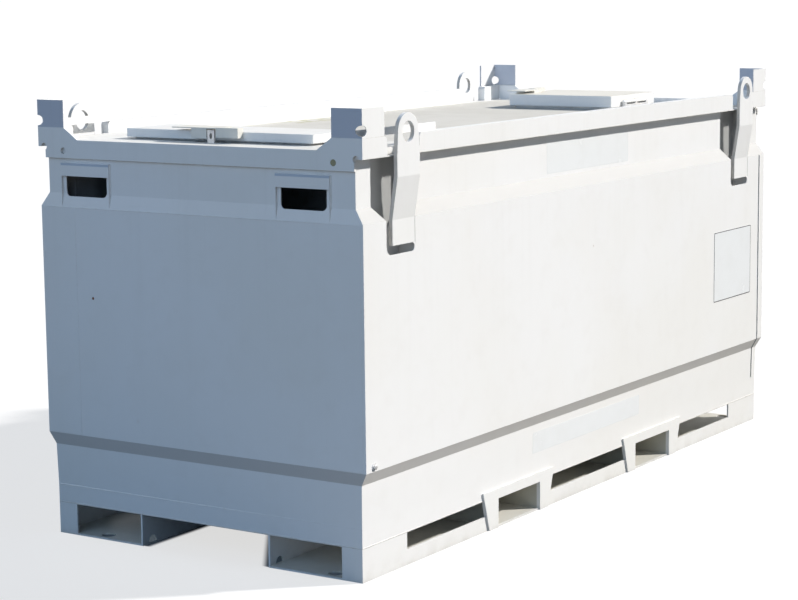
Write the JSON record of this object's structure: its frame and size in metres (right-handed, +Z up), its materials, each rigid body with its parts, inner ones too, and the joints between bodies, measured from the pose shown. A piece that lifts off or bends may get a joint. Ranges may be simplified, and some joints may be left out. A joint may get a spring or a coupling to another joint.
{
  "type": "bunded fuel tank",
  "caption": "Rectangular self-bunded steel fuel tank on a skid base with fork pockets, cranked lifting lugs, stacking angles and hinged deck lids.",
  "frame": {"origin": "centre of the footprint on the ground", "axes": "+X along the length from the cabinet end to the hatch end, +Z up"},
  "size_m": [5.568, 2.506, 2.76],
  "materials": {
    "wall_paint": "satin white enamel on folded sheet",
    "base_paint": "satin white enamel on plate",
    "roof_paint": "satin white enamel",
    "deck_paint": "pale gritty non-slip coating",
    "lug_paint": "satin white enamel on thick plate",
    "lid_paint": "satin white enamel",
    "hinge_steel": "dull zinc-plated steel",
    "lock_paint": "satin off-white enamel",
    "inner_paint": "primer-grey paint"
  },
  "bodies": {
    "tank": {"bund_floor": "base_paint", "front_wall": "wall_paint", "back_wall": "wall_paint", "near_end_wall": "wall_paint", "far_end_wall": "wall_paint", "front_skid": "base_paint", "back_skid": "base_paint", "near_fork_pocket": "base_paint", "far_fork_pocket": "base_paint", "deck": "deck_paint", "front_rail": "roof_paint", "back_rail": "roof_paint", "near_end_plate": "roof_paint", "far_end_plate": "roof_paint", "near_front_angle": "roof_paint", "near_back_angle": "roof_paint", "far_front_angle": "roof_paint", "far_back_angle": "roof_paint", "near_front_lug": "lug_paint", "near_back_lug": "lug_paint", "far_front_lug": "lug_paint", "far_back_lug": "lug_paint", "near_front_recess": "wall_paint", "near_back_recess": "wall_paint", "far_front_recess": "wall_paint", "far_back_recess": "wall_paint", "front_slot_hood": "wall_paint", "back_slot_hood": "wall_paint", "cabinet_coaming": "roof_paint", "cabinet_hinge_ears": "hinge_steel", "cabinet_hasp": "hinge_steel", "hatch_coaming": "roof_paint", "hatch_hinge_ears": "hinge_steel", "hatch_hasp": "hinge_steel", "inner_tank": "inner_paint", "inner_tank_end": "inner_paint", "inner_tank_roof": "inner_paint", "inner_tank_bearers": "inner_paint", "manway_neck": "inner_paint", "manway_cover": "inner_paint"},
    "cabinet_cover": {"cabinet_lid": "lid_paint", "cabinet_lock_box": "lock_paint"},
    "hatch_cover": {"hatch_lid": "lid_paint", "hatch_lock_box": "lock_paint"}
  },
  "joints": [
    {"name": "cabinet_hinge", "type": "hinge", "parent": "tank", "child": "cabinet_cover", "pos_m": [-2.102, 0, 2.566], "axis": [0, 1, 0], "range_deg": [0, 105]},
    {"name": "hatch_hinge", "type": "hinge", "parent": "tank", "child": "hatch_cover", "pos_m": [2.065, -0.461, 2.536], "axis": [1, 0, 0], "range_deg": [0, 105]}
  ]
}
